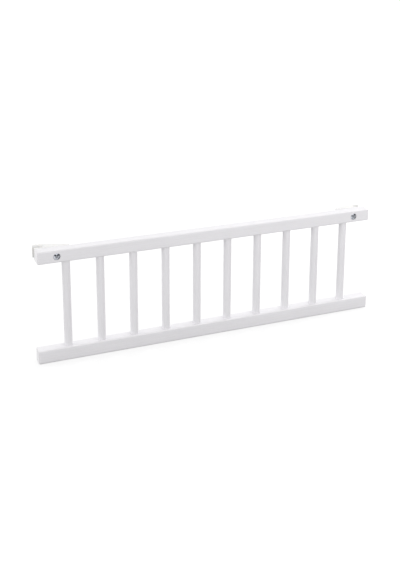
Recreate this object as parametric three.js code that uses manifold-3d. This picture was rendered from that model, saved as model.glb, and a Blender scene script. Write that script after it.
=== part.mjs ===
// Guard rail for a child's bedside cot: two lacquered wooden rails, ten round bars, and at each end a
// hook block that a bolt through the top rail holds to its back. Millimetres, +Z up, +X along the rail.
// The origin is under the middle of the bottom rail. The front face looks towards -Y, the hooks lie at +Y.

import * as THREE from "three";
import { RoundedBoxGeometry } from "three/addons/geometries/RoundedBoxGeometry.js";
import { mergeVertices } from "three/addons/utils/BufferGeometryUtils.js";
import Module from "manifold-3d";

// Driving dimensions of the frame
const topRailLength = 807;
const bottomRailOverhang = 5.5;
const railDepth = 27;
const topRailHeight = 28;
const bottomRailHeight = 30;
const railEdgeRadius = 3;
const clearHeight = 197.5;
const barCount = 10;
const barDiameter = 18;
const endBay = 69.25;
const socketDepth = 12;

// Hook block: a clip that grips an upright of the cot behind each end of the top rail
const hookOverhang = 0.5;
const hookLength = 76.8;
const slotWidth = 17.5;
const slotDepth = 22.5;
const legThickness = 4;
const tongueThickness = 6.8;
const noseRadius = 2.6;
const noseFallRadius = 22;
const crownRadius = 30;
const crownTurn = 15;
const tailThickness = 3.3;
const backBendShare = 0.26;
const backRiseShare = 0.545;
const hookEdgeRadius = 1.2;
const leftHookDroop = 0;
const rightHookDroop = 4;

// Bolt with a flat round head and a cross recess
const boltInset = 42;
const threadDiameter = 6;
const threadEngagement = 11;
const tipChamfer = 0.8;
const headDiameter = 14.6;
const headHeight = 3.6;
const headRimRound = 0.9;
const headBelowFace = 0.4;
const recessReach = 5.6;
const recessFloorReach = 3;
const recessWidth = 3.2;
const recessDepth = 2.4;
const leftRecessTurn = 31;
const rightRecessTurn = 25;

// Washer under the head, and the threaded insert in the hook block
const washerDiameter = 15;
const washerHole = 6.6;
const washerThickness = 1.2;
const insertDiameter = 9;
const insertLength = 12;
const ridgeCount = 5;
const ridgeHeight = 0.7;

// Clearances
const glueGap = 0.2;
const seatGap = 0.3;
const shankClearance = 0.5;
const threadClearance = 0.15;
const counterboreClearance = 0.4;
const insertEndRoom = 1.5;

// Facet counts, and how far a cutting tool runs past the face that it cuts
const barSides = 32;
const hardwareSides = 24;
const roundSteps = 3;
const arcSteps = 10;
const overrun = 1;

// Places that follow from the sizes above
const bottomRailLength = topRailLength + 2 * bottomRailOverhang;
const barPitch = (bottomRailLength - 2 * endBay) / (barCount - 1);
const topRailFloor = bottomRailHeight + clearHeight;
const boltHeight = topRailFloor + topRailHeight / 2;
const boltX = topRailLength / 2 - boltInset;
const railFront = -railDepth / 2;
const railBack = railDepth / 2;
const headSeat = railFront + headBelowFace + headHeight;
const washerFront = headSeat + seatGap;
const counterboreFloor = washerFront + washerThickness + seatGap;
const hookFace = railBack + seatGap;
const insertFront = hookFace + seatGap;
const shankLength = insertFront + threadEngagement - headSeat;
const hookDepth = legThickness + slotWidth + tongueThickness;

const wasm = await Module();
wasm.setup();

// A geometry as a solid, for cuts
function solid(geometry) {
  const bare = geometry.index ? geometry.toNonIndexed() : geometry.clone();
  bare.deleteAttribute("normal");
  bare.deleteAttribute("uv");
  const merged = mergeVertices(bare);
  return new wasm.Manifold(
    new wasm.Mesh({
      numProp: 3,
      vertProperties: merged.attributes.position.array,
      triVerts: new Uint32Array(merged.index.array),
    }),
  );
}

// A cut solid back as a geometry
function geometryOf(result) {
  const mesh = result.getMesh();
  const geometry = new THREE.BufferGeometry();
  geometry.setAttribute("position", new THREE.BufferAttribute(mesh.vertProperties, mesh.numProp));
  geometry.setIndex(new THREE.BufferAttribute(mesh.triVerts, 1));
  geometry.computeVertexNormals();
  return geometry;
}

function cut(geometry, tools) {
  return geometryOf(tools.reduce((left, tool) => left.subtract(solid(tool)), solid(geometry)));
}

// A round tool along Y, from y = start to y = end
function crosswiseTool(radius, start, end, x, z) {
  const tool = new THREE.CylinderGeometry(radius, radius, end - start, hardwareSides);
  return tool.translate(x, (start + end) / 2, z);
}

// A round tool along Z, from z = floor to z = ceiling
function uprightTool(radius, floor, ceiling, x) {
  const tool = new THREE.CylinderGeometry(radius, radius, ceiling - floor, barSides);
  return tool.rotateX(Math.PI / 2).translate(x, 0, (floor + ceiling) / 2);
}

function finish(color, roughness, metalness) {
  return new THREE.MeshStandardMaterial({ color, roughness, metalness });
}

const lacquer = finish("#e6e4e9", 0.42, 0);
const nylon = finish("#ecebea", 0.45, 0);
const steel = finish("#a9adb4", 0.3, 1);
const brass = finish("#c9a763", 0.4, 1);

const guardRail = new THREE.Group();

function addMesh(parent, name, geometry, material) {
  const mesh = new THREE.Mesh(geometry, material);
  mesh.name = name;
  parent.add(mesh);
  return mesh;
}

// Rails: square bars with every edge rounded over, drilled for the dowels
function railBlank(length, height) {
  return new RoundedBoxGeometry(length, railDepth, height, roundSteps, railEdgeRadius);
}

function barX(index) {
  return barPitch * (index - (barCount - 1) / 2);
}

function sockets(floor, ceiling) {
  const tools = [];
  for (let index = 0; index < barCount; index += 1) {
    tools.push(uprightTool(barDiameter / 2 + glueGap, floor, ceiling, barX(index)));
  }
  return tools;
}

function addBottomRail() {
  const top = bottomRailHeight / 2;
  const tools = sockets(top - socketDepth, top + overrun);
  const blank = railBlank(bottomRailLength, bottomRailHeight);
  const rail = addMesh(guardRail, "bottom_rail", cut(blank, tools), lacquer);
  rail.position.z = bottomRailHeight / 2;
}

function addTopRail() {
  const underside = -topRailHeight / 2;
  const tools = sockets(underside - overrun, underside + socketDepth);
  const headRoom = washerDiameter / 2 + counterboreClearance;
  const shankRoom = threadDiameter / 2 + shankClearance;
  for (const x of [-boltX, boltX]) {
    tools.push(crosswiseTool(headRoom, railFront - overrun, counterboreFloor, x, 0));
    tools.push(crosswiseTool(shankRoom, railFront, railBack + overrun, x, 0));
  }
  const blank = railBlank(topRailLength, topRailHeight);
  const rail = addMesh(guardRail, "top_rail", cut(blank, tools), lacquer);
  rail.position.z = boltHeight;
}

// Bars: full-width dowels that stop just short of the floors of their sockets
function addBars() {
  const length = clearHeight + 2 * (socketDepth - seatGap);
  for (let index = 0; index < barCount; index += 1) {
    const dowel = new THREE.CylinderGeometry(barDiameter / 2, barDiameter / 2, length, barSides);
    const name = "baluster_" + String(index + 1).padStart(2, "0");
    const bar = addMesh(guardRail, name, dowel, lacquer);
    bar.rotation.x = Math.PI / 2;
    bar.position.set(barX(index), 0, bottomRailHeight + clearHeight / 2);
  }
}

// The hook block's outline in plan: x runs inwards from the rail's end, y away from the rail's back
function hookOutline() {
  const turn = THREE.MathUtils.degToRad(crownTurn);
  const fallReach = noseFallRadius - noseRadius;
  const fallTurn = Math.acos((noseFallRadius + noseRadius - tongueThickness) / fallReach);
  const noseX = noseRadius - hookOverhang;
  const crownReach = noseX + fallReach * Math.sin(fallTurn);
  const crownX = crownReach + crownRadius * Math.sin(turn);
  const crownY = hookDepth - crownRadius * (1 - Math.cos(turn));
  const bendX = hookLength - backBendShare * (hookLength - crownX);
  const legRadius = legThickness / 2;
  const slotRadius = slotWidth / 2;
  const slotEnd = slotDepth - hookOverhang - slotRadius;
  const up = Math.PI / 2;
  const outline = new THREE.Shape();
  outline.moveTo(legRadius, 0);
  outline.lineTo(hookLength, 0);
  outline.lineTo(hookLength, tailThickness);
  outline.quadraticCurveTo(bendX, backRiseShare * hookDepth, crownX, crownY);
  outline.absarc(crownReach, hookDepth - crownRadius, crownRadius, up - turn, up, false);
  outline.absarc(crownReach, hookDepth - noseFallRadius, noseFallRadius, up, up + fallTurn, false);
  outline.absarc(noseX, legThickness + slotWidth + noseRadius, noseRadius, up + fallTurn, -up, false);
  outline.absarc(slotEnd, legThickness + slotRadius, slotRadius, up, -up, true);
  outline.absarc(legRadius, legRadius, legRadius, up, -up, false);
  return outline.getPoints(arcSteps).slice(1);
}

function hookGeometry(side) {
  const points = hookOutline().map((p) => new THREE.Vector2(side * (boltInset - p.x), hookFace + p.y));
  const block = new THREE.ExtrudeGeometry(new THREE.Shape(points), {
    depth: topRailHeight - 2 * hookEdgeRadius,
    bevelThickness: hookEdgeRadius,
    bevelSize: hookEdgeRadius,
    bevelOffset: -hookEdgeRadius,
    bevelSegments: roundSteps,
  });
  block.translate(0, 0, hookEdgeRadius - topRailHeight / 2);
  const room = insertDiameter / 2 + ridgeHeight + glueGap;
  const floor = insertFront + insertLength + insertEndRoom;
  return cut(block, [crosswiseTool(room, hookFace - overrun, floor, 0, 0)]);
}

// Bolt: the shank points towards +Y from the head's underside at y = 0
function boltGeometry() {
  const radius = threadDiameter / 2;
  const rim = headDiameter / 2;
  const profile = [
    new THREE.Vector2(0, -headHeight),
    new THREE.Vector2(rim - headRimRound, -headHeight),
    new THREE.Vector2(rim, headRimRound - headHeight),
    new THREE.Vector2(rim, 0),
    new THREE.Vector2(radius, 0),
    new THREE.Vector2(radius, shankLength - tipChamfer),
    new THREE.Vector2(radius - tipChamfer, shankLength),
    new THREE.Vector2(0, shankLength),
  ];
  const blank = new THREE.LatheGeometry(profile, hardwareSides);
  return cut(blank, [recessTool(), recessTool().rotateY(Math.PI / 2)]);
}

// One slot of the cross recess, with ends that slope in towards its floor
function recessTool() {
  const section = new THREE.Shape();
  section.moveTo(-recessReach, -headHeight - overrun);
  section.lineTo(recessReach, -headHeight - overrun);
  section.lineTo(recessReach, -headHeight);
  section.lineTo(recessFloorReach, recessDepth - headHeight);
  section.lineTo(-recessFloorReach, recessDepth - headHeight);
  section.lineTo(-recessReach, -headHeight);
  section.closePath();
  const tool = new THREE.ExtrudeGeometry(section, { depth: recessWidth, bevelEnabled: false });
  return tool.translate(0, 0, -recessWidth / 2);
}

// A ring turned about Y, from y = 0 to the length, with an optional row of ridges outside
function ringGeometry(bore, radius, length, ridges, height) {
  const step = length / (2 * ridges + 1);
  const profile = [new THREE.Vector2(bore, 0), new THREE.Vector2(radius, 0)];
  for (let index = 1; index <= 2 * ridges; index += 1) {
    profile.push(new THREE.Vector2(radius + (index % 2) * height, index * step));
  }
  profile.push(new THREE.Vector2(radius, length), new THREE.Vector2(bore, length));
  profile.push(profile[0]);
  return new THREE.LatheGeometry(profile, hardwareSides);
}

// One end of the top rail: everything that the bolt passes through
function addEnd(name, side, recessTurn, droop) {
  const end = new THREE.Group();
  end.position.set(side * boltX, 0, boltHeight);
  guardRail.add(end);
  const hook = addMesh(end, name + "_hook", hookGeometry(side), nylon);
  hook.rotation.y = side * THREE.MathUtils.degToRad(droop);
  const bolt = addMesh(end, name + "_bolt", boltGeometry(), steel);
  bolt.position.y = headSeat;
  bolt.rotation.y = THREE.MathUtils.degToRad(recessTurn);
  const washer = ringGeometry(washerHole / 2, washerDiameter / 2, washerThickness, 0, 0);
  addMesh(end, name + "_washer", washer, steel).position.y = washerFront;
  const bore = threadDiameter / 2 + threadClearance;
  const sleeve = ringGeometry(bore, insertDiameter / 2, insertLength, ridgeCount, ridgeHeight);
  addMesh(end, name + "_insert", sleeve, brass).position.y = insertFront;
}

addBottomRail();
addTopRail();
addBars();
addEnd("left", -1, leftRecessTurn, leftHookDroop);
addEnd("right", 1, rightRecessTurn, rightHookDroop);

export default guardRail;
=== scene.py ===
# %% [markdown]
# # A guard rail for a child's bedside cot
#
# The real object is a low fence of white lacquered beech: two square rails with ten round bars
# between them. Behind each end of the top rail a moulded clip turns on a bolt, and grips an upright
# of the cot. The CAD frame already holds every piece in its place and size, in metres.
#
# Such a model could be sculpted by eye over the photograph. Here each piece is made in code on top
# of the frame instead, because then it sits exactly where the real one would and can't drift.

# %% Load the frame
import math

import bmesh
import bpy
from mathutils import Matrix, Vector


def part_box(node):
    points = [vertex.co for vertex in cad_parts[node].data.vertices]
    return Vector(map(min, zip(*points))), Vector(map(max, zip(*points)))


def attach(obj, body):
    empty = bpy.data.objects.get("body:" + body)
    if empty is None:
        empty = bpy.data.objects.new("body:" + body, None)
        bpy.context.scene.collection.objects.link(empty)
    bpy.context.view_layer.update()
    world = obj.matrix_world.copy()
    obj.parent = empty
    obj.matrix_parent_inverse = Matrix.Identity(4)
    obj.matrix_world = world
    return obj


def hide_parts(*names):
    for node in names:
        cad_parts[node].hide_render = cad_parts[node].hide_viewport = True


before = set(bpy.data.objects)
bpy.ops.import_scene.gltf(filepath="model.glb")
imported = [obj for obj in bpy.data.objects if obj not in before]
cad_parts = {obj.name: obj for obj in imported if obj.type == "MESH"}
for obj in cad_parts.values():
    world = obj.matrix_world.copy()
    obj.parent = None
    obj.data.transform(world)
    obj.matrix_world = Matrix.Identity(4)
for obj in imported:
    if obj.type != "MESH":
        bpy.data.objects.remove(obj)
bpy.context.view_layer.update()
print("pieces in the frame:", len(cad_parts))

# %% [markdown]
# ## The camera
#
# The photograph was taken from the front left and from a little above, with a long lens. The view
# could be found by nudging the camera until it looks right. This one was fitted to the ten bars
# and the rail edges, so its numbers come as a focal length in pixels and as a place in metres.
# The lens is shifted down instead of tilting the camera more, which keeps the bars nearly
# parallel, as they are in the photograph.

# %% Camera
picture_height = 570
focal_pixels = 913.7
centre_row = 150
camera_place = Vector((-0.7622, -1.8066, 0.9374))
camera_yaw, camera_pitch, camera_roll = -0.3847, -0.2499, 0.0025


def look_matrix(place, yaw, pitch, roll):
    """A camera's matrix from its place, its turn about Z, its tilt and its roll."""
    ahead = Vector((
        -math.sin(yaw) * math.cos(pitch), math.cos(yaw) * math.cos(pitch), math.sin(pitch)))
    level = Vector((math.cos(yaw), math.sin(yaw), 0))
    above = level.cross(ahead)
    right = level * math.cos(roll) + above * math.sin(roll)
    up = above * math.cos(roll) - level * math.sin(roll)
    matrix = Matrix((right, up, -ahead)).transposed().to_4x4()
    matrix.translation = place
    return matrix


lens = bpy.data.cameras.new("photo_camera")
lens.sensor_width = 36
lens.lens = focal_pixels / picture_height * lens.sensor_width
lens.shift_y = (centre_row - picture_height / 2) / picture_height
camera = bpy.data.objects.new("photo_camera", lens)
bpy.context.scene.collection.objects.link(camera)
camera.matrix_world = look_matrix(camera_place, camera_yaw, camera_pitch, camera_roll)
bpy.context.scene.camera = camera
print("lens", round(lens.lens, 2), "mm, shift", round(lens.shift_y, 4))

# %% [markdown]
# ## Small tools for materials
#
# Every finish here is a tree of nodes. A tree could be joined up node by node in long rows of code.
# A few short helpers keep it readable: one adds a node with its settings, and each of the others
# stands for a step that comes back in every finish, such as a noise, a blend or a relief.

# %% Node helpers
def add_node(tree, kind, values=None, **settings):
    """Adds a node, sets its properties, and gives its input sockets plain values."""
    made = tree.nodes.new(kind)
    for name, value in settings.items():
        setattr(made, name, value)
    for socket, value in (values or {}).items():
        made.inputs[socket].default_value = value
    return made


def start_material(name, colour, roughness, metallic=0.0):
    """A material with its one Principled shader, and the piece's own coordinates."""
    material = bpy.data.materials.new(name)
    material.use_nodes = True
    tree = material.node_tree
    shader = tree.nodes["Principled BSDF"]
    shader.inputs["Base Color"].default_value = (*colour, 1)
    shader.inputs["Roughness"].default_value = roughness
    shader.inputs["Metallic"].default_value = metallic
    material.diffuse_color = (*colour, 1)
    place = add_node(tree, "ShaderNodeTexCoord")
    return material, tree, shader, place.outputs["Object"]


def stretched(tree, place, scale, shift=(0, 0, 0)):
    """The coordinates, scaled by a different amount along each axis."""
    mapping = add_node(tree, "ShaderNodeMapping", {"Scale": scale, "Location": shift})
    tree.links.new(place, mapping.inputs["Vector"])
    return mapping.outputs["Vector"]


# A noise could go from 0 to 1, but it hardly ever leaves this range.
noise_low, noise_high = 0.3, 0.7


def noise(tree, vector, scale, detail=2.0, roughness=0.5):
    """A cloudy pattern that fills space."""
    values = {"Scale": scale, "Detail": detail, "Roughness": roughness}
    made = add_node(tree, "ShaderNodeTexNoise", values)
    tree.links.new(vector, made.inputs["Vector"])
    return made.outputs["Fac"]


def spread(tree, value, low, high, start=0.0, end=1.0):
    """Maps a value from start..end to low..high, and holds it there beyond both ends."""
    values = {"From Min": start, "From Max": end, "To Min": low, "To Max": high}
    made = add_node(tree, "ShaderNodeMapRange", values)
    tree.links.new(value, made.inputs["Value"])
    return made.outputs["Result"]


# A Mix node's sockets for colours come behind those for numbers and vectors.
mix_first, mix_second, mix_result = 6, 7, 2


def blend_colours(tree, share, first, second):
    """Goes from the first colour to the second as the share goes from 0 to 1."""
    made = add_node(tree, "ShaderNodeMix", data_type="RGBA")
    for socket, colour in ((mix_first, first), (mix_second, second)):
        if isinstance(colour, tuple):
            made.inputs[socket].default_value = (*colour, 1)
        else:
            tree.links.new(colour, made.inputs[socket])
    tree.links.new(share, made.inputs["Factor"])
    return made.outputs[mix_result]


def relief(tree, height, strength, depth, under=None):
    """A bump on top of the one under it. The depth is in metres."""
    made = add_node(tree, "ShaderNodeBump", {"Strength": strength, "Distance": depth})
    tree.links.new(height, made.inputs["Height"])
    if under:
        tree.links.new(under, made.inputs["Normal"])
    return made.outputs["Normal"]


print("node helpers ready")

# %% [markdown]
# ## White lacquer over beech
#
# The wood is sprayed white and looks smooth from a step away. Close by, the grain still stands up a
# little under the lacquer, as long shallow lines on the sides and as rings on the cut ends, and the
# lacquer itself has a faint orange peel. It is thinner and a shade warmer on the rounded edges.
#
# A photograph of wood could be wrapped on, but it would stretch on the ends. A solid pattern, which
# fills the block as real growth rings do, gives the right lines on each face by itself.

# %% Lacquer
lacquer_white = (0.802, 0.791, 0.816)
lacquer_pale = (0.842, 0.832, 0.856)
lacquer_edge = (0.775, 0.76, 0.772)
along_grain, across_grain = 14, 420
cloud_scale, peel_scale = 9.0, 650.0
cloud_least, cloud_most = 0.15, 0.85
ring_share, pore_share, edge_share = 0.14, 0.3, 0.4
pore_start, pore_end = 0.36, 0.5
lacquer_smoothest, lacquer_roughest = 0.36, 0.5
grain_depth, peel_depth = 0.0004, 0.0002


def lacquer(name, grain_axis, stretch, pith):
    """Lacquered wood whose grain runs along one axis. The growth rings have the pith as middle."""
    material, tree, shader, place = start_material(name, lacquer_white, 0.42)
    rings = add_node(
        tree, "ShaderNodeTexWave",
        {"Scale": 55, "Distortion": 5, "Detail": 3, "Detail Scale": 1.4},
        wave_type="RINGS", rings_direction=grain_axis,
    )
    tree.links.new(stretched(tree, place, (1, 1, 1), pith), rings.inputs["Vector"])
    pores = noise(tree, stretched(tree, place, stretch), 1.0, 3.0, 0.6)
    peel = noise(tree, place, peel_scale, 1.0)

    cloud = noise(tree, place, cloud_scale)
    cloud = spread(tree, cloud, cloud_least, cloud_most, noise_low, noise_high)
    tone = blend_colours(tree, cloud, lacquer_white, lacquer_pale)
    lines = spread(tree, rings.outputs["Fac"], 0.0, ring_share)
    tone = blend_colours(tree, lines, tone, lacquer_edge)
    streaks = spread(tree, pores, pore_share, 0.0, pore_start, pore_end)
    tone = blend_colours(tree, streaks, tone, lacquer_edge)
    edge = add_node(tree, "ShaderNodeAttribute", attribute_name="edge")
    thin = spread(tree, edge.outputs["Fac"], 0.0, edge_share)
    tone = blend_colours(tree, thin, tone, lacquer_edge)
    tree.links.new(tone, shader.inputs["Base Color"])

    sheen = spread(tree, pores, lacquer_smoothest, lacquer_roughest, noise_low, noise_high)
    tree.links.new(sheen, shader.inputs["Roughness"])
    grain = relief(tree, rings.outputs["Fac"], 0.22, grain_depth)
    grain = relief(tree, pores, 0.42, grain_depth, grain)
    grain = relief(tree, peel, 0.10, peel_depth, grain)
    tree.links.new(grain, shader.inputs["Normal"])
    shader.inputs["Coat Weight"].default_value = 0.12
    shader.inputs["Coat Roughness"].default_value = 0.3
    print("made", name)
    return material


rail_stretch = (along_grain, across_grain, across_grain)
bar_stretch = (across_grain, across_grain, along_grain)
rail_lacquer = lacquer("rail_lacquer", "X", rail_stretch, (0, 0.021, 0.037))
bar_lacquer = lacquer("bar_lacquer", "Z", bar_stretch, (0.013, 0.006, 0))

# %% [markdown]
# ## Moulded nylon
#
# The clips are moulded in a white nylon. It has the fine even grain of a spark-finished mould, and
# faint streaks of gloss where it flowed in. A plain white plastic could stand for it, but its slots
# would look too dark: nylon lets a little light in, and a small subsurface share does that.

# %% Nylon
nylon_white = (0.84, 0.837, 0.828)
nylon_shade = (0.825, 0.821, 0.811)
nylon_light = (0.856, 0.853, 0.843)
nylon_cloud_scale, spark_scale, spark_depth = 25.0, 1500.0, 0.0002
flow_stretch = (40, 12, 12)
nylon_smoothest, nylon_roughest = 0.42, 0.58
light_reach = 0.003


def nylon():
    """White nylon with a mould's fine grain and soft streaks of gloss."""
    material, tree, shader, place = start_material("clip_nylon", nylon_white, 0.5)
    cloud = noise(tree, place, nylon_cloud_scale)
    spark = noise(tree, place, spark_scale)
    flow = noise(tree, stretched(tree, place, flow_stretch), 1.0)
    tone = blend_colours(tree, cloud, nylon_shade, nylon_light)
    tree.links.new(tone, shader.inputs["Base Color"])
    sheen = spread(tree, flow, nylon_smoothest, nylon_roughest, noise_low, noise_high)
    tree.links.new(sheen, shader.inputs["Roughness"])
    tree.links.new(relief(tree, spark, 0.25, spark_depth), shader.inputs["Normal"])
    shader.inputs["Subsurface Weight"].default_value = 0.3
    shader.inputs["Subsurface Radius"].default_value = (1, 0.95, 0.9)
    shader.inputs["Subsurface Scale"].default_value = light_reach
    print("made clip_nylon")
    return material


clip_nylon = nylon()

# %% [markdown]
# ## Plated steel and brass
#
# The bolts and washers are plated steel, and the inserts are brass. Bolt heads and inserts are
# turned on a lathe, so fine marks run round their axis, and the washers share that finish. A Noise
# could roughen the metal, but it would scatter the marks; rings measured from the axis keep them
# round.
#
# The recess in a bolt's head gets a darker colour as painted shade, most of all in its upper
# arms. A painted shade also lies on the right side of each head's rim. This finish measures the
# two bolts as mirror images, so it can't tell right from left. So each point of a bolt's mesh
# stores how much of that painted rim shade lies there, and the finish reads that value.

# %% Metals
bolt_x = 0.3615
bolt_z = 0.2415
# Painted shade: its colour on the bolt heads' rims, and where it grows in the recesses.
painted_rim_shade_colour = (0.10, 0.105, 0.12)
shade_bottom, shade_top = -0.0022, 0.0014
shade_inside, shade_outside, shade_least = 0.0012, 0.0034, 0.25
patch_scale, patch_start, patch_end = 260.0, 0.35, 0.7
smoother, rougher = 0.07, 0.1
turning_depth = 0.0001


def arithmetic(tree, operation, first, second=None):
    """One step of arithmetic on one or two values, each of them a socket or a plain number."""
    made = add_node(tree, "ShaderNodeMath", operation=operation)
    for socket, value in enumerate((first, second)):
        if isinstance(value, bpy.types.NodeSocket):
            tree.links.new(value, made.inputs[socket])
        elif value is not None:
            made.inputs[socket].default_value = value
    return made.outputs[0]


def recess_shade(tree, upward, centred):
    """Painted shade in a recess: a share that grows upwards from just under the axis, and outwards.
    """
    from_axis = add_node(tree, "ShaderNodeVectorMath", operation="LENGTH")
    tree.links.new(stretched(tree, centred, (1, 0, 1)), from_axis.inputs[0])
    above = spread(tree, upward, 0, 1, shade_bottom, shade_top)
    away = from_axis.outputs["Value"]
    outward = spread(tree, away, shade_least, 1, shade_inside, shade_outside)
    return arithmetic(tree, "MULTIPLY", above, outward)


def turned_metal(name, colour, dull_and_shade, roughness, is_recess=False):
    """Metal turned on a lathe: rings round the bolts' axes, which lie at x = +bolt_x and -bolt_x.
    The dull colour comes in patches, or in a recess as a painted shade that darkens upwards."""
    material, tree, shader, place = start_material(name, colour, roughness, 1.0)
    parts = add_node(tree, "ShaderNodeSeparateXYZ")
    tree.links.new(place, parts.inputs["Vector"])
    size = arithmetic(tree, "ABSOLUTE", parts.outputs["X"])
    across = arithmetic(tree, "SUBTRACT", size, bolt_x)
    upward = arithmetic(tree, "SUBTRACT", parts.outputs["Z"], bolt_z)
    joined = add_node(tree, "ShaderNodeCombineXYZ")
    for axis, value in (("X", across), ("Y", parts.outputs["Y"]), ("Z", upward)):
        tree.links.new(value, joined.inputs[axis])
    centred = joined.outputs["Vector"]
    turning = add_node(
        tree, "ShaderNodeTexWave", {"Scale": 500, "Distortion": 1.5, "Detail": 2},
        wave_type="RINGS", rings_direction="Y",
    )
    tree.links.new(centred, turning.inputs["Vector"])

    patch = noise(tree, place, patch_scale, 3.0)
    # In a recess the dull colour is a painted shade, darkest in the upper arms and away from the
    # axis.
    if is_recess:
        share = recess_shade(tree, upward, centred)
    else:
        share = spread(tree, patch, 0, 1, patch_start, patch_end)
    tone = blend_colours(tree, share, colour, dull_and_shade)
    # Painted shade on the bolt heads' rims, read from the numbers on the points.
    grime = add_node(tree, "ShaderNodeAttribute", attribute_name="grime")
    tone = blend_colours(tree, grime.outputs["Fac"], tone, painted_rim_shade_colour)
    tree.links.new(tone, shader.inputs["Base Color"])
    sheen = spread(tree, patch, roughness - smoother, roughness + rougher)
    tree.links.new(sheen, shader.inputs["Roughness"])
    marks = relief(tree, turning.outputs["Fac"], 0.15, turning_depth)
    tree.links.new(marks, shader.inputs["Normal"])
    print("made", name)
    return material


plated_steel = turned_metal("plated_steel", (0.58, 0.60, 0.645), (0.45, 0.465, 0.51), 0.3)
# The recess's darker steel is painted shade, darker still towards its upper arms.
shaded_recess_steel = turned_metal("shaded_recess_steel", (0.31, 0.32, 0.34), (0.03, 0.032, 0.04), 0.55, True)
insert_brass = turned_metal("insert_brass", (0.72, 0.56, 0.30), (0.58, 0.43, 0.22), 0.34)

# %% [markdown]
# ## Small tools for meshes
#
# Most pieces here are rings of points joined by faces: a turned bar, a bolt, a washer, and also the
# clip, whose outline is repeated up its height. A screw or bevel modifier could make each of them,
# but one helper that skins a row of rings makes them all, and gives full control of every edge.
#
# Holes are cut with Blender's exact boolean, as a drill cuts them. At the end each piece gets
# smooth shading with weighted normals, so that flat faces stay flat up to their rounded edges.

# %% Mesh helpers
weld_distance = 0.000001
sharp_angle = 35


def show_mesh(name, shape, mesh):
    """Writes a finished bmesh into a mesh, and puts that into the scene as an object."""
    shape.to_mesh(mesh)
    shape.free()
    piece = bpy.data.objects.new(name, mesh)
    bpy.context.scene.collection.objects.link(piece)
    return piece


def new_piece(name, points, faces):
    """A mesh object in the frame's own coordinates, with all its faces turned outwards."""
    mesh = bpy.data.meshes.new(name)
    mesh.from_pydata([tuple(point) for point in points], [], faces)
    shape = bmesh.new()
    shape.from_mesh(mesh)
    bmesh.ops.remove_doubles(shape, verts=shape.verts, dist=weld_distance)
    bmesh.ops.recalc_face_normals(shape, faces=shape.faces)
    return show_mesh(name, shape, mesh)


def skin(rings, ring_shaped=False):
    """Joins rings of equally many points. In a ring-shaped piece the last ring meets the first."""
    count = len(rings[0])
    points = [point for ring in rings for point in ring]
    faces = []
    for step in range(len(rings) if ring_shaped else len(rings) - 1):
        here = step * count
        there = (step + 1) % len(rings) * count
        for side in range(count):
            after = (side + 1) % count
            faces.append((here + side, here + after, there + after, there + side))
    if not ring_shaped:
        faces.append(tuple(range(count)))
        faces.append(tuple(range(len(points) - count, len(points))))
    return points, faces


def apply_modifiers(piece):
    """Makes what the modifiers show the piece's own mesh."""
    bpy.context.view_layer.update()
    finished = piece.evaluated_get(bpy.context.evaluated_depsgraph_get())
    mesh = bpy.data.meshes.new_from_object(finished)
    piece.modifiers.clear()
    piece.data = mesh


def cut_away(piece, tool):
    """Cuts the tool's shape out of the piece, and deletes the tool."""
    boolean = piece.modifiers.new("cut", "BOOLEAN")
    boolean.operation = "DIFFERENCE"
    boolean.solver = "EXACT"
    boolean.object = tool
    apply_modifiers(piece)
    bpy.data.objects.remove(tool)


def finish_piece(piece, body, materials, node):
    """Shades a piece, gives it its materials, and puts it in its CAD node's place."""
    for material in materials[len(piece.data.materials):]:
        piece.data.materials.append(material)
    piece.data.shade_smooth()
    piece.data.set_sharp_from_angle(angle=math.radians(sharp_angle))
    weighted = piece.modifiers.new("normals", "WEIGHTED_NORMAL")
    weighted.keep_sharp = True
    apply_modifiers(piece)
    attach(piece, body)
    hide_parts(node)
    size = [round(v * 1000, 1) for v in piece.dimensions]
    print(piece.name, "stands for", node, "-", size, "mm,", len(piece.data.polygons), "faces")


print("mesh helpers ready")

# %% [markdown]
# ## The two rails
#
# Each rail is a planed beech bar, 27 mm thick, with every edge rounded by a router. The bottom rail
# is 30 mm high and the top rail 28 mm. Ten blind holes take the round bars. The top rail also has a
# counterbore near each end, where the bolt head sits just below the face, with a narrower hole
# behind it for the shank.
#
# The rounding could be left to a bevel modifier. Bevelling in bmesh before the holes are cut gives
# the same shape, and keeps the rims of the holes crisp, as they are when the bar is drilled last.

# %% Rails
rail_rounding, rounding_steps = 0.003, 6
edge_gain = 2.4
socket_depth = 0.012
glue_gap = 0.0002
bar_radius = 0.009
bar_pitch, bar_count = 0.0755, 10
bar_places = [bar_pitch * (index - (bar_count - 1) / 2) for index in range(bar_count)]
tool_overlap = 0.001


def plain_bar(name, low, high, rounding):
    """A block between two corners, with all its edges rounded."""
    shape = bmesh.new()
    bmesh.ops.create_cube(shape, size=1)
    middle = (low + high) / 2
    size = high - low
    for corner in shape.verts:
        corner.co = Vector([middle[axis] + corner.co[axis] * size[axis] for axis in range(3)])
    bmesh.ops.bevel(
        shape, geom=shape.edges[:], offset=rounding, segments=rounding_steps, profile=0.5,
        affect="EDGES",
    )
    return show_mesh(name, shape, bpy.data.meshes.new(name))


def circle_z(x, y, z, radius, sides=64):
    """A circle round an upright axis, such as a bar's."""
    turns = [2 * math.pi * side / sides for side in range(sides)]
    return [(x + radius * math.cos(turn), y + radius * math.sin(turn), z) for turn in turns]


def upright_tools(radius, floor, ceiling, places):
    """Round tools that stand along Z, one at each place, as one object."""
    points, faces = [], []
    for place in places:
        tool_points, tool_faces = skin([circle_z(place, 0, z, radius) for z in (floor, ceiling)])
        faces += [tuple(len(points) + corner for corner in face) for face in tool_faces]
        points += tool_points
    return new_piece("socket_tools", points, faces)


def store_on_points(piece, name, values):
    """Gives each point of the mesh a number, which a finish can read by its name."""
    attribute = piece.data.attributes.new(name, "FLOAT", "POINT")
    attribute.data.foreach_set("value", values)


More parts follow.
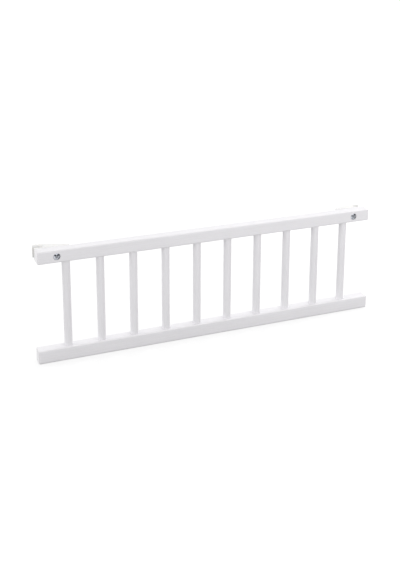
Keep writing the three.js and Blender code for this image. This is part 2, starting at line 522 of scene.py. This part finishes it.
def mark_edges(piece, low, high, rounding):
    """Stores how far round an edge each point lies, for the lacquer to thin there."""
    values = []
    for corner in piece.data.vertices:
        place = corner.co
        reach = sorted(
            max(low[axis] + rounding - place[axis], place[axis] - high[axis] + rounding, 0)
            for axis in range(3)
        )
        values.append(min(1.0, edge_gain * reach[1] / rounding))
    store_on_points(piece, "edge", values)


print("bars at", [round(x, 4) for x in bar_places])

# %% Bottom rail
low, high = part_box("bottom_rail")
bottom_rail = plain_bar("lower_rail", low, high, rail_rounding)
tools = upright_tools(
    bar_radius + glue_gap, high.z - socket_depth, high.z + tool_overlap, bar_places)
cut_away(bottom_rail, tools)
mark_edges(bottom_rail, low, high, rail_rounding)
finish_piece(bottom_rail, "rail", [rail_lacquer], "bottom_rail")
bottom_rail_top = high.z
bottom_rail_half = (high - low) / 2

# %% Top rail
low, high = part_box("top_rail")
head_room = 0.0077
shank_room = 0.0035
counterbore_floor = -0.0077


def circle_y(x, y, z, radius, sides=64):
    """A circle round an axis along Y, such as a bolt's."""
    turns = [2 * math.pi * side / sides for side in range(sides)]
    return [(x + radius * math.sin(turn), y, z + radius * math.cos(turn)) for turn in turns]


top_rail = plain_bar("upper_rail", low, high, rail_rounding)
tools = upright_tools(
    bar_radius + glue_gap, low.z - tool_overlap, low.z + socket_depth, bar_places)
cut_away(top_rail, tools)
for x in (-bolt_x, bolt_x):
    wide_ends = (low.y - tool_overlap, counterbore_floor)
    wide = [circle_y(x, y, bolt_z, head_room) for y in wide_ends]
    cut_away(top_rail, new_piece("counterbore_tool", *skin(wide)))
    narrow_ends = (low.y, high.y + tool_overlap)
    narrow = [circle_y(x, y, bolt_z, shank_room) for y in narrow_ends]
    cut_away(top_rail, new_piece("shank_tool", *skin(narrow)))
mark_edges(top_rail, low, high, rail_rounding)
finish_piece(top_rail, "rail", [rail_lacquer], "top_rail")
top_rail_floor = low.z

# %% [markdown]
# ## The ten bars
#
# The bars are 18 mm dowels, glued into both rails. Each end has a bevel, so that it finds its
# socket, and stops just short of the socket's floor. Only a hair of glue lies round it, which shows
# as a fine dark line where the bar meets the rail.
#
# The bars could be ten ready-made cylinders that end at the rails. Turning the whole dowel, with
# the part inside the sockets, gives that line by itself.

# %% Bars
end_bevel = 0.001
seat_gap = 0.0003
bar_sides = 72


def bar_profile(floor, ceiling):
    """Radius and height up one bar: a straight dowel with a bevelled end in each socket."""
    foot = floor - socket_depth + seat_gap
    head = ceiling + socket_depth - seat_gap
    return [
        (bar_radius - end_bevel, foot), (bar_radius, foot + end_bevel),
        (bar_radius, floor), (bar_radius, ceiling),
        (bar_radius, head - end_bevel), (bar_radius - end_bevel, head),
    ]


for number, x in enumerate(bar_places, 1):
    profile = bar_profile(bottom_rail_top, top_rail_floor)
    rings = [circle_z(x, 0, height, radius, bar_sides) for radius, height in profile]
    bar = new_piece(f"bar_{number:02d}", *skin(rings))
    finish_piece(bar, "rail", [bar_lacquer], f"baluster_{number:02d}")

# %% [markdown]
# ## The clips' outline
#
# Each clip is one moulding, seen from above as a hook: a short leg lies on the rail's back, a slot
# opens outwards past the rail's end, and a tongue closes round the cot's upright. From the crown of
# the tongue the back falls away to a thin tail.
#
# A curve object could draw this outline and a bevel could round it. Points in a list are used
# instead, because the outline is needed again a little smaller for each step of the rounding.

# %% Clip outline
overhang, clip_length = 0.0005, 0.0768
leg, slot_width, tongue, slot_depth = 0.004, 0.0175, 0.0068, 0.0225
nose_radius, fall_radius = 0.0026, 0.022
crown_radius, crown_turn = 0.030, 15
tail, tail_rounding, tail_turn = 0.0033, 0.0016, 50
bend_share, bend_level, back_steps = 0.26, 0.545, 32
clip_depth = leg + slot_width + tongue
same_point = 0.00001


def arc(x, y, radius, start, end, steps):
    """Points of an arc in a drawing. The angles are in degrees, from the x axis towards y."""
    angles = [math.radians(start + (end - start) * step / steps) for step in range(steps + 1)]
    return [Vector((x + radius * math.cos(a), y + radius * math.sin(a))) for a in angles]


def clip_back(start, crown):
    """The long hollow curve from the tail up to the crown, drawn towards one bend point."""
    bend = Vector((clip_length - bend_share * (clip_length - crown.x), bend_level * clip_depth))
    points = []
    for step in range(1, back_steps):
        share = step / back_steps
        points.append(start.lerp(bend, share).lerp(bend.lerp(crown, share), share))
    return points


def clip_outline():
    """The clip from above: x runs inwards from the rail's end, y away from the rail's back."""
    turn = math.radians(crown_turn)
    fall = math.acos((fall_radius + nose_radius - tongue) / (fall_radius - nose_radius))
    lean = 90 + math.degrees(fall)
    nose_x = nose_radius - overhang
    crown_x = nose_x + (fall_radius - nose_radius) * math.sin(fall)
    crown_start = Vector((
        crown_x + crown_radius * math.sin(turn),
        clip_depth - crown_radius * (1 - math.cos(turn)),
    ))
    tail_x = clip_length - tail_rounding
    slot = slot_width / 2
    points = arc(tail_x, tail_rounding, tail_rounding, -90, 0, 5)
    points += arc(tail_x, tail - tail_rounding, tail_rounding, 0, tail_turn, 5)
    points += clip_back(points[-1], crown_start)
    points += arc(crown_x, clip_depth - crown_radius, crown_radius, 90 - crown_turn, 90, 8)
    points += arc(crown_x, clip_depth - fall_radius, fall_radius, 90, lean, 10)
    points += arc(nose_x, leg + slot_width + nose_radius, nose_radius, lean, 270, 16)
    points += arc(slot_depth - overhang - slot, leg + slot, slot, 90, -90, 36)
    points += arc(leg / 2, leg / 2, leg / 2, 90, 270, 14)
    return points


def shrunk(points, amount):
    """The outline moved inwards by the same amount all round."""
    moved = []
    for index, point in enumerate(points):
        before = (point - points[index - 1]).normalized()
        after = (points[(index + 1) % len(points)] - point).normalized()
        inward = Vector((-before.y - after.y, before.x + after.x)).normalized()
        slant = max(0.5, inward.dot(Vector((-after.y, after.x))))
        moved.append(point + inward * amount / slant)
    return moved


outline = []
for point in clip_outline():
    if not outline or (point - outline[-1]).length > same_point:
        outline.append(point)
print("clip outline:", len(outline), "points, depth", round(clip_depth * 1000, 1), "mm")

# %% [markdown]
# ## The clips
#
# A clip is 28 mm high, its mould leaves a small radius on every edge, and a pocket in its face
# takes the brass insert. The right one hangs down by four degrees in the photograph, since nothing
# but the bolt's grip holds it.
#
# The outline could be extruded and then bevelled, but a bevel tends to fail in the narrow nose and
# tail. Stacking ever smaller outlines towards the top and the underside rounds them all safely.

# %% Clips
rail_back = 0.0138
clip_height = 0.028
edge_rounding, edge_steps = 0.0012, 6
clip_end_to_bolt = 0.042
insert_room = 0.0054
insert_floor = 0.0276


def clip_levels():
    """Height and inset of each ring, from the underside to the top."""
    levels = []
    for step in range(edge_steps + 1):
        angle = math.radians(90 * step / edge_steps)
        height = edge_rounding * (1 - math.cos(angle))
        inset = edge_rounding * (1 - math.sin(angle))
        levels.append((height, inset))
    return levels + [(clip_height - height, inset) for height, inset in reversed(levels)]


def clip(name, side, droop):
    """One clip, made round the bolt's axis, then hung there at its angle."""
    rings = []
    for height, inset in clip_levels():
        z = height - clip_height / 2
        rings.append([
            Vector((side * (clip_end_to_bolt - point.x), rail_back + point.y, z))
            for point in shrunk(outline, inset)
        ])
    piece = new_piece(name, *skin(rings))
    pocket_ends = (rail_back - tool_overlap, insert_floor)
    pocket = [circle_y(0, y, 0, insert_room) for y in pocket_ends]
    cut_away(piece, new_piece("pocket_tool", *skin(pocket)))
    hang = Matrix.Rotation(math.radians(side * droop), 4, "Y")
    piece.data.transform(Matrix.Translation((side * bolt_x, 0, bolt_z)) @ hang)
    return piece


for name, side, droop in (("left", -1, 0), ("right", 1, 4)):
    hook = clip(f"{name}_clip_moulding", side, droop)
    finish_piece(hook, f"{name}_clip", [clip_nylon], f"{name}_hook")

# %% [markdown]
# ## The bolts
#
# An M6 furniture bolt passes through the rail and screws into the clip. Its wide flat head has a
# rounded rim and a large cross recess, and its thread is rolled with a pitch of 1 mm.
#
# The thread could be faked with a bump. It is real here: the bolt is a grid of points round its
# axis, and each point's radius follows a wave that climbs one pitch in each turn.

# %% Bolt body
head_front = -0.0131
head_radius, head_height = 0.0073, 0.0036
rim_radius, heel_radius, neck_radius = 0.0009, 0.0003, 0.0004
head_crown = 0.0002
thread_radius, thread_depth, pitch = 0.003, 0.0005, 0.001
thread_start, bolt_tip, tip_taper = 0.010, 0.0251, 0.0006
bolt_sides, steps_per_pitch = 64, 8


def ramp(value, start, end):
    """0 before the start, 1 beyond the end, and a straight rise between them."""
    return min(1, max(0, (value - start) / (end - start)))


def head_profile():
    """Radius and place along Y, from the middle of the head's face to the shank."""
    face_radius = head_radius - rim_radius
    head_back = head_front + head_height
    face = [
        (share * face_radius, head_front + head_crown * share * share)
        for share in (0.02, 0.3, 0.6, 0.85)
    ]
    rim = arc(face_radius, head_front + head_crown + rim_radius, rim_radius, -90, 0, 8)
    heel = arc(head_radius - heel_radius, head_back - heel_radius, heel_radius, 0, 90, 3)
    neck = arc(thread_radius + neck_radius, head_back + neck_radius, neck_radius, 270, 180, 4)
    return face + rim + heel + neck


def threaded_ring(x, y):
    """One ring of the shank. The radius dips between the crests, which climb as a helix."""
    fade = ramp(y, thread_start, thread_start + pitch) * min(1, (bolt_tip - y) / pitch)
    taper = max(0, tip_taper - (bolt_tip - y))
    ring = []
    for side in range(bolt_sides):
        phase = (y / pitch - side / bolt_sides) % 1
        dip = thread_depth * fade * (1 - abs(2 * phase - 1))
        radius = thread_radius - dip - taper
        turn = 2 * math.pi * side / bolt_sides
        ring.append((x + radius * math.sin(turn), y, bolt_z + radius * math.cos(turn)))
    return ring


def bolt_rings(x):
    """All rings of one bolt, from the middle of its face to its tip."""
    rings = [circle_y(x, y, bolt_z, radius, bolt_sides) for radius, y in head_profile()]
    shank_start = head_front + head_height + neck_radius
    plain_length, thread_length = thread_start - shank_start, bolt_tip - thread_start
    places = [shank_start + plain_length * share for share in (0.25, 0.5, 0.75)]
    steps = int(thread_length / pitch * steps_per_pitch)
    places += [thread_start + thread_length * step / steps for step in range(steps + 1)]
    return rings + [threaded_ring(x, y) for y in places]


print("bolt length", round((bolt_tip - head_front) * 1000, 1), "mm")

# %% [markdown]
# ## The cross recess
#
# A punch presses the cross into the head: its arms are widest at the face and narrow inwards. The
# recess could be modelled into the bolt's own grid, but a cross doesn't fit into rings. So a tool
# with the punch's shape is cut out of the head.

# %% Cross recess
recess_reach, recess_width, recess_depth = 0.0063, 0.0040, 0.0024
recess_levels = (
    # depth, share of the reach, share of the width
    (-0.0004, 1.06, 1.05),
    (0, 1.0, 1.0),
    (0.0017, 0.70, 0.82),
    (recess_depth, 0.42, 0.62),
)


def cross_ring(x, y, reach, width, turn):
    """Twelve corners of a cross, turned about the bolt's axis."""
    w = width / 2
    corners = [(w, reach), (w, w), (reach, w), (reach, -w), (w, -w), (w, -reach),
               (-w, -reach), (-w, -w), (-reach, -w), (-reach, w), (-w, w), (-w, reach)]
    c, s = math.cos(turn), math.sin(turn)
    return [(x + a * c + b * s, y, bolt_z + b * c - a * s) for a, b in corners]


def recess_tool(x, turn):
    """The punch, as a stack of crosses."""
    rings = [
        cross_ring(x, head_front + depth, recess_reach * reach, recess_width * width, turn)
        for depth, reach, width in recess_levels
    ]
    return new_piece("recess_tool", *skin(rings))


print("recess", recess_reach * 1000, "mm from the axis,", recess_depth * 1000, "mm deep")

# %% [markdown]
# ## Painted shade on the bolt heads
#
# The recess gets a painted shade: the dark finish goes on the faces that the punch made, except
# those that face up, which keep the plain steel as if lit from above.
#
# A painted shade also lies along the head's rim. It could be a painted image, but a number on each
# point of the mesh does it too. It grows from the face outwards, and towards the right-hand side,
# tilted a little down.

# %% Painted shade
# Which faces of the recess take the painted shade.
recess_lip, recess_slack, facing_up = 0.00028, 0.0001, 0.4
# Where the painted rim shade lies: its distance from the axis, and the side it leans to.
rim_shade_start, rim_shade_end = 0.0050, 0.0060
rim_shade_lean, side_start, side_end = math.radians(-5), 0.25, 0.60
axis_margin = 0.0001


def darken_recess(piece, x):
    """Gives the recess's floor and walls the painted-shade material, except where they face up."""
    first = head_front + recess_lip
    last = head_front + recess_depth + recess_slack
    for face in piece.data.polygons:
        away = math.hypot(face.center.x - x, face.center.z - bolt_z)
        inside = away < recess_reach and first < face.center.y < last
        face.material_index = 1 if inside and face.normal.z < facing_up else 0


def mark_rim_shade(piece, x):
    """Stores where the painted rim shade lies: on the rim of the head, most on its right-hand side.
    """
    values = []
    for corner in piece.data.vertices:
        across, up = corner.co.x - x, corner.co.z - bolt_z
        away = math.hypot(across, up)
        toward = across * math.cos(rim_shade_lean) + up * math.sin(rim_shade_lean)
        on_rim = ramp(away, rim_shade_start, rim_shade_end)
        on_side = ramp(toward / max(away, axis_margin), side_start, side_end)
        on_head = corner.co.y < head_front + head_height
        values.append(on_rim * on_side if on_head else 0)
    store_on_points(piece, "grime", values)


# The painted rim shade starts at this distance.
print("grime starts", rim_shade_start * 1000, "mm from the bolt's axis")

# %% Bolts
for name, side, turn in (("left", -1, 42), ("right", 1, 30)):
    x = side * bolt_x
    bolt = new_piece(f"{name}_furniture_bolt", *skin(bolt_rings(x)))
    cut_away(bolt, recess_tool(x, math.radians(turn)))
    finishes = [plated_steel, shaded_recess_steel]
    for finish in finishes:
        bolt.data.materials.append(finish)
    # Painted shade: the recess faces that don't face up, and the right of the head's rim.
    darken_recess(bolt, x)
    mark_rim_shade(bolt, x)
    finish_piece(bolt, f"{name}_bolt_body", finishes, f"{name}_bolt")

# %% [markdown]
# ## The washers
#
# A steel washer lies under each bolt head, so that the head doesn't crush the wood. It is stamped
# from sheet: the front rims come out rounded and the back ones crisp. A torus could be flattened
# for it, but that is far too round, so its small section is drawn and swept round the axis.

# %% Washers
washer_front, washer_thickness = -0.0092, 0.0012
washer_outside, washer_hole = 0.0075, 0.0033
outer_rounding, inner_rounding = 0.0003, 0.0002


def washer_section():
    """Radius and place along Y, once round the washer's section."""
    back = washer_front + washer_thickness
    outer = arc(
        washer_outside - outer_rounding, washer_front + outer_rounding, outer_rounding,
        -90, 0, 4,
    )
    inner = arc(
        washer_hole + inner_rounding, washer_front + inner_rounding, inner_rounding,
        180, 270, 3,
    )
    return outer + [(washer_outside, back), (washer_hole, back)] + inner


for name, side in (("left", -1), ("right", 1)):
    rings = [circle_y(side * bolt_x, y, bolt_z, radius) for radius, y in washer_section()]
    washer = new_piece(f"{name}_flat_washer", *skin(rings, ring_shaped=True))
    finish_piece(washer, f"{name}_washer_body", [plated_steel], f"{name}_washer")

# %% [markdown]
# ## The inserts
#
# A threaded brass insert sits in the pocket of each clip, and the bolt screws into it. It could be
# made again in finer detail, but it never shows, and the ridges of the CAD's own piece are right as
# they are. So that piece stays and only gets a finish.

# %% Inserts
for name in ("left_insert", "right_insert"):
    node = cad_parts[name]
    node.data.materials.clear()
    node.data.materials.append(insert_brass)
    print(name, "keeps its CAD mesh and gets", insert_brass.name)

# %% [markdown]
# ## The floor
#
# The photograph shows the rail cut out on white. A white card under it could be lit until it burns
# out, but that light would also bleach the rail. Here the floor is a plain pale surface that glows
# only for rays from the camera, straight or by way of shiny metal. So the background turns white,
# the rail keeps its tones, and a faint shadow still ties it to the ground.
#
# That glow would also fill the thin dark line where the rail touches the ground, so it is turned
# down right under the rail. The lower glow there also darkens that line by itself: a painted
# contact shade on top of the real shadow.

# %% Floor
floor_paint = (0.35, 0.35, 0.35)
near_glow, near_distance, far_distance = 0.67, 0.55, 1.6
# Under the rail the glow sinks: painted contact shade on top of the real shadow.
contact_glow, contact_start, contact_end = 0.75, -0.0025, 0.0005
floor_radius, floor_drop, floor_sides = 14, 0.0002, 64


def white_rays(tree):
    """1 for rays straight from the camera, off gloss or through glass, and 0 for all others."""
    rays = add_node(tree, "ShaderNodeLightPath")
    seen = arithmetic(
        tree, "MAXIMUM", rays.outputs["Is Camera Ray"], rays.outputs["Is Glossy Ray"])
    return arithmetic(tree, "MAXIMUM", seen, rays.outputs["Is Transmission Ray"])


def beyond_rail(tree, place):
    """How far a point of the floor lies outside the bottom rail's outline: below 0 under it."""
    parts = add_node(tree, "ShaderNodeSeparateXYZ")
    tree.links.new(place, parts.inputs["Vector"])
    gaps = []
    for axis, half in (("X", bottom_rail_half.x), ("Y", bottom_rail_half.y)):
        size = arithmetic(tree, "ABSOLUTE", parts.outputs[axis])
        gaps.append(arithmetic(tree, "SUBTRACT", size, half))
    return arithmetic(tree, "MAXIMUM", *gaps)


def floor_material():
    """Pale paint, with a glow that only the camera sees. Far from the rail the glow is full, and
    under the rail's rounded edges it sinks, which adds painted shade to the real contact shadow."""
    material = bpy.data.materials.new("floor_white")
    material.use_nodes = True
    tree = material.node_tree
    tree.nodes.clear()
    place = add_node(tree, "ShaderNodeTexCoord").outputs["Object"]
    away = add_node(tree, "ShaderNodeVectorMath", operation="LENGTH")
    tree.links.new(place, away.inputs[0])
    level = spread(tree, away.outputs["Value"], near_glow, 1.0, near_distance, far_distance)
    beyond = beyond_rail(tree, place)
    contact = spread(tree, beyond, contact_glow, 1.0, contact_start, contact_end)
    ground = arithmetic(tree, "MULTIPLY", level, contact)
    strength = arithmetic(tree, "MULTIPLY", ground, white_rays(tree))
    glow = add_node(tree, "ShaderNodeEmission", {"Color": (1, 1, 1, 1)})
    tree.links.new(strength, glow.inputs["Strength"])
    paint = add_node(tree, "ShaderNodeBsdfDiffuse", {"Color": (*floor_paint, 1)})
    both = add_node(tree, "ShaderNodeAddShader")
    tree.links.new(paint.outputs[0], both.inputs[0])
    tree.links.new(glow.outputs[0], both.inputs[1])
    output = add_node(tree, "ShaderNodeOutputMaterial")
    tree.links.new(both.outputs[0], output.inputs["Surface"])
    return material


floor_rim = circle_z(0, 0, -floor_drop, floor_radius, floor_sides)
floor = new_piece("floor", floor_rim, [tuple(range(floor_sides))])
floor.data.materials.append(floor_material())
print("floor:", floor_radius, "m round the rail")

# %% [markdown]
# ## Light from all round
#
# A photographer's white room throws light back from every side. It could be built as walls, but the
# world does the same: it lights the rail softly at one level, and shows pure white to the camera
# and in the plated steel.

# %% World
world_fill = 0.65
world = bpy.data.worlds.new("studio")
world.use_nodes = True
bpy.context.scene.world = world
tree = world.node_tree
soft = tree.nodes["Background"]
soft.inputs["Color"].default_value = (1, 1, 1, 1)
soft.inputs["Strength"].default_value = world_fill
bright = add_node(tree, "ShaderNodeBackground", {"Color": (1, 1, 1, 1), "Strength": 1.0})
mix = add_node(tree, "ShaderNodeMixShader")
tree.links.new(white_rays(tree), mix.inputs[0])
tree.links.new(soft.outputs[0], mix.inputs[1])
tree.links.new(bright.outputs[0], mix.inputs[2])
tree.links.new(mix.outputs[0], tree.nodes["World Output"].inputs["Surface"])
print("world strength", world_fill)

# %% [markdown]
# ## The lamps
#
# Six large softboxes stand round the rail. The ones behind it light the top faces, the one on the
# left lights the ends and the left sides of the bars, and the two in front light the front faces.
#
# Their powers could be set by trial. They were worked out instead: the scene was rendered once with
# each lamp alone, and those pictures were added up in shares until each face came close to its tone
# in the photograph. Afterwards the two in front were raised by about a tenth.

# %% Lamps
def soft_lamp(name, place, target, width, height, power):
    """A rectangular softbox that faces its target. Sizes are in metres, the power in watts."""
    light = bpy.data.lights.new(name, "AREA")
    light.shape = "RECTANGLE"
    light.size, light.size_y = width, height
    light.energy = power
    lamp = bpy.data.objects.new(name, light)
    bpy.context.scene.collection.objects.link(lamp)
    lamp.location = place
    facing = Vector(target) - Vector(place)
    lamp.rotation_euler = facing.to_track_quat("-Z", "Y").to_euler()
    print(name, power, "W")


soft_lamp("back_softbox", (0.3, 1.3, 1.8), (0.1, 0, 0.15), 1.6, 1.0, 8)
soft_lamp("back_left_softbox", (-1.7, 1.0, 1.2), (0, 0, 0.15), 1.0, 1.0, 8)
soft_lamp("back_right_softbox", (1.6, 0.6, 1.6), (0.3, 0, 0.2), 0.8, 0.8, 10)
soft_lamp("left_softbox", (-2.4, -0.8, 0.35), (0, 0, 0.13), 1.0, 0.5, 12)
soft_lamp("front_softbox", (0.2, -2.2, 0.9), (0, 0, 0.15), 1.0, 0.8, 6.6)
soft_lamp("front_right_softbox", (0.9, -1.5, 0.9), (0.3, 0, 0.2), 0.8, 0.8, 8.3)
bpy.context.scene.view_settings.view_transform = "Standard"
